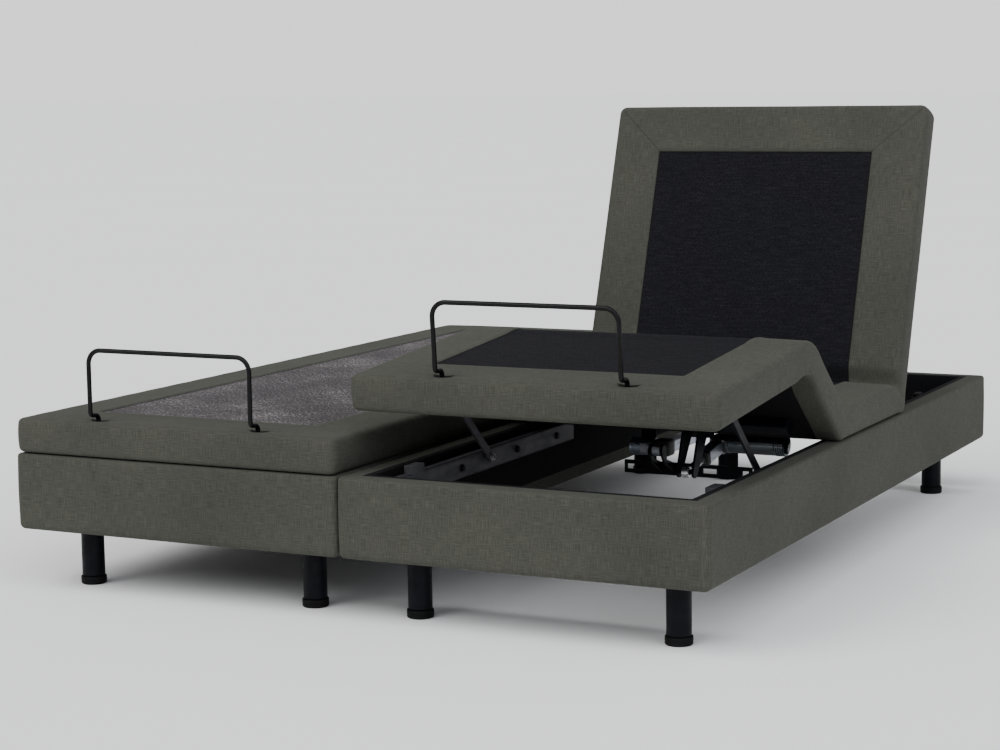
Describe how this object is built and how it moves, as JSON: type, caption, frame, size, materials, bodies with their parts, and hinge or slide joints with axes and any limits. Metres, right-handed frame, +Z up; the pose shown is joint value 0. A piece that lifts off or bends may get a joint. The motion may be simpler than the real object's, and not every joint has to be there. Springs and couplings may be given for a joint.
{
  "type": "adjustable bed base",
  "caption": "Split adjustable bed base: twin upholstered units on round legs, one flat, one with back and leg sections raised by push-rod drives.",
  "frame": {"origin": "centre of the footprint on the floor", "axes": "+Y along the bed from the foot end to the head end, +X from the flat unit to the raised unit, +Z up"},
  "size_m": [1.6, 2, 1.0141],
  "materials": {
    "cover_fabric": "matte",
    "black_steel": "satin",
    "grey_steel": "satin",
    "drive_grey": "satin",
    "push_rod_steel": "satin"
  },
  "bodies": {
    "root": {"left_foot_leg_strap": "black_steel", "left_foot_rail": "cover_fabric", "left_head_leg_strap": "black_steel", "left_head_rail": "cover_fabric", "left_inner_rail": "cover_fabric", "left_inner_steel_rail": "grey_steel", "left_leg_foot_inner": "black_steel", "left_leg_foot_outer": "black_steel", "left_leg_head_inner": "black_steel", "left_leg_head_outer": "black_steel", "left_motor_tray": "black_steel", "left_outer_rail": "cover_fabric", "left_outer_steel_rail": "grey_steel", "left_seat_cross_tube": "black_steel", "left_seat_section": "cover_fabric", "right_foot_leg_strap": "black_steel", "right_foot_rail": "cover_fabric", "right_head_leg_strap": "black_steel", "right_head_rail": "cover_fabric", "right_inner_rail": "cover_fabric", "right_inner_steel_rail": "grey_steel", "right_leg_foot_inner": "black_steel", "right_leg_foot_outer": "black_steel", "right_leg_head_inner": "black_steel", "right_leg_head_outer": "black_steel", "right_motor_tray": "black_steel", "right_outer_rail": "cover_fabric", "right_outer_steel_rail": "grey_steel", "right_seat_cross_tube": "black_steel", "right_seat_section": "cover_fabric"},
    "left_back": {"left_back_section": "cover_fabric", "left_back_lift_frame": "black_steel"},
    "left_thigh": {"left_thigh_section": "cover_fabric", "left_leg_lift_frame": "black_steel"},
    "left_calf": {"left_calf_section": "cover_fabric", "left_retainer_bar": "black_steel", "left_calf_cross_bar": "black_steel"},
    "left_calf_links": {"left_calf_link_outer": "grey_steel", "left_calf_link_inner": "grey_steel"},
    "left_leg_drive": {"left_leg_drive_housing": "drive_grey"},
    "left_leg_push_rod": {"left_leg_drive_rod": "push_rod_steel"},
    "left_back_drive": {"left_back_drive_housing": "drive_grey"},
    "left_back_push_rod": {"left_back_drive_rod": "push_rod_steel"},
    "right_back": {"right_back_section": "cover_fabric", "right_back_lift_frame": "black_steel"},
    "right_thigh": {"right_thigh_section": "cover_fabric", "right_leg_lift_frame": "black_steel"},
    "right_calf": {"right_calf_section": "cover_fabric", "right_retainer_bar": "black_steel", "right_calf_cross_bar": "black_steel"},
    "right_calf_links": {"right_calf_link_outer": "grey_steel", "right_calf_link_inner": "grey_steel"},
    "right_leg_drive": {"right_leg_drive_housing": "drive_grey"},
    "right_leg_push_rod": {"right_leg_drive_rod": "push_rod_steel"},
    "right_back_drive": {"right_back_drive_housing": "drive_grey"},
    "right_back_push_rod": {"right_back_drive_rod": "push_rod_steel"}
  },
  "joints": [
    {"name": "left_back_lift", "type": "hinge", "parent": "root", "child": "left_back", "pos_m": [-0.40075, 0.27, 0.302], "axis": [1, 0, 0], "range_deg": [0, 71]},
    {"name": "left_thigh_lift", "type": "hinge", "parent": "root", "child": "left_thigh", "pos_m": [-0.40075, -0.2, 0.302], "axis": [-1, 0, 0], "range_deg": [0, 38]},
    {"name": "left_knee", "type": "hinge", "parent": "left_thigh", "child": "left_calf", "pos_m": [-0.40075, -0.47, 0.302], "axis": [1, 0, 0], "range_deg": [0, 42.6]},
    {"name": "left_calf_link_swing", "type": "hinge", "parent": "root", "child": "left_calf_links", "pos_m": [-0.40075, -0.4819, 0.268], "axis": [-1, 0, 0], "range_deg": [0, 38.71]},
    {"name": "left_leg_drive_swing", "type": "hinge", "parent": "root", "child": "left_leg_drive", "pos_m": [-0.47575, -0.05, 0.268], "axis": [-1, 0, 0], "range_deg": [0, 15.52]},
    {"name": "left_leg_push", "type": "slide", "parent": "left_leg_drive", "child": "left_leg_push_rod", "axis": [0, -0.9098, -0.4151], "range_m": [0, 0.0503]},
    {"name": "left_back_drive_swing", "type": "hinge", "parent": "root", "child": "left_back_drive", "pos_m": [-0.31575, -0.08, 0.235], "axis": [1, 0, 0], "range_deg": [0, 0.841]},
    {"name": "left_back_push", "type": "slide", "parent": "left_back_drive", "child": "left_back_push_rod", "axis": [0, 1, -0.0093], "range_m": [0, 0.089]},
    {"name": "right_back_lift", "type": "hinge", "parent": "root", "child": "right_back", "pos_m": [0.40075, 0.27, 0.302], "axis": [1, 0, 0], "range_deg": [-71, 0]},
    {"name": "right_thigh_lift", "type": "hinge", "parent": "root", "child": "right_thigh", "pos_m": [0.40075, -0.2, 0.302], "axis": [-1, 0, 0], "range_deg": [-38, 0]},
    {"name": "right_knee", "type": "hinge", "parent": "right_thigh", "child": "right_calf", "pos_m": [0.40075, -0.41276, 0.46823], "axis": [1, 0, 0], "range_deg": [-42.6, 0]},
    {"name": "right_calf_link_swing", "type": "hinge", "parent": "root", "child": "right_calf_links", "pos_m": [0.40075, -0.4819, 0.268], "axis": [-1, 0, 0], "range_deg": [-38.71, 0]},
    {"name": "right_leg_drive_swing", "type": "hinge", "parent": "root", "child": "right_leg_drive", "pos_m": [0.47575, -0.05, 0.268], "axis": [-1, 0, 0], "range_deg": [-15.52, 0]},
    {"name": "right_leg_push", "type": "slide", "parent": "right_leg_drive", "child": "right_leg_push_rod", "axis": [0, -0.9877, -0.1564], "range_m": [-0.0503, 0]},
    {"name": "right_back_drive_swing", "type": "hinge", "parent": "root", "child": "right_back_drive", "pos_m": [0.31575, -0.08, 0.235], "axis": [1, 0, 0], "range_deg": [-0.841, 0]},
    {"name": "right_back_push", "type": "slide", "parent": "right_back_drive", "child": "right_back_push_rod", "axis": [0, 1, 0.0054], "range_m": [-0.089, 0]}
  ],
  "couplings": [
    {"joint": "left_knee", "follows": "left_thigh_lift", "ratio": 1.1211},
    {"joint": "left_calf_link_swing", "follows": "left_thigh_lift", "ratio": 1.0187},
    {"joint": "left_leg_drive_swing", "follows": "left_thigh_lift", "ratio": 0.40853},
    {"joint": "left_leg_push", "follows": "left_thigh_lift", "m_per_rad": 0.075842},
    {"joint": "left_back_drive_swing", "follows": "left_back_lift", "ratio": 0.011845},
    {"joint": "left_back_push", "follows": "left_back_lift", "m_per_rad": 0.071821},
    {"joint": "right_knee", "follows": "right_thigh_lift", "ratio": 1.1211},
    {"joint": "right_calf_link_swing", "follows": "right_thigh_lift", "ratio": 1.0187},
    {"joint": "right_leg_drive_swing", "follows": "right_thigh_lift", "ratio": 0.40853},
    {"joint": "right_leg_push", "follows": "right_thigh_lift", "m_per_rad": 0.075842},
    {"joint": "right_back_drive_swing", "follows": "right_back_lift", "ratio": 0.011845},
    {"joint": "right_back_push", "follows": "right_back_lift", "m_per_rad": 0.071821}
  ]
}
